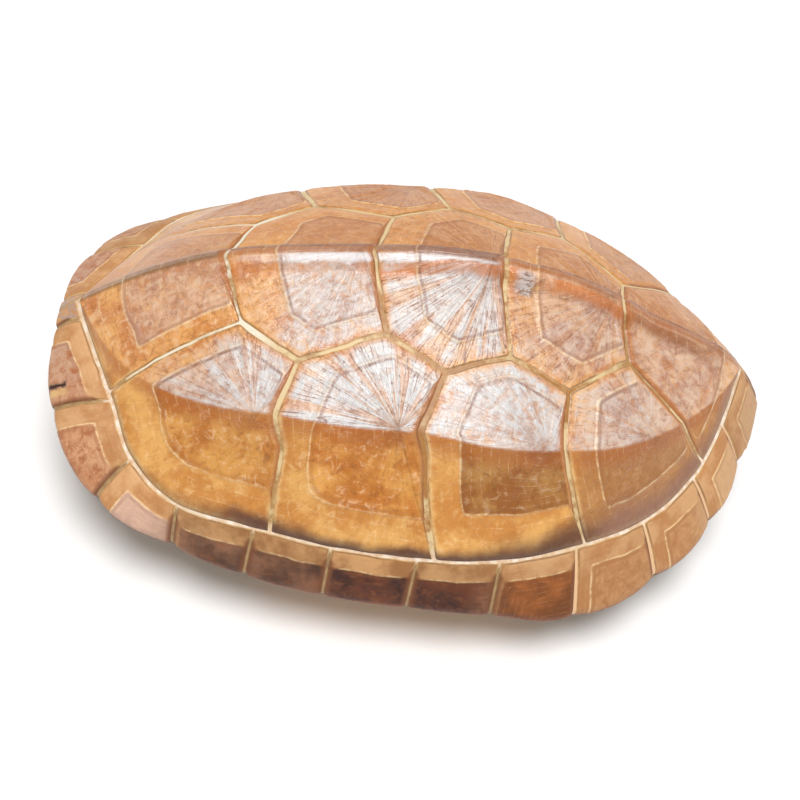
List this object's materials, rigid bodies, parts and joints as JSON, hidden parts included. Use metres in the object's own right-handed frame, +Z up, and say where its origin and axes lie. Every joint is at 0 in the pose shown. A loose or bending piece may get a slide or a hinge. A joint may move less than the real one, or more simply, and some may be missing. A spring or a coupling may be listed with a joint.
{
  "type": "turtle shell",
  "caption": "Hollow three-keeled pond turtle shell: domed carapace joined by two bridges to a flat plastron, open at the head and tail ends.",
  "frame": {"origin": "on the plane that the plastron rests on, under the middle of the shell's bounding box", "axes": "+X from the head end to the tail end, +Y to the shell's right side, +Z up"},
  "size_m": [0.16, 0.1144, 0.0639],
  "materials": {
    "shell": "honey-brown horn scutes with a varnish-like gloss and cream seams"
  },
  "bodies": {
    "root": {"turtle_shell": "shell"}
  },
  "joints": []
}
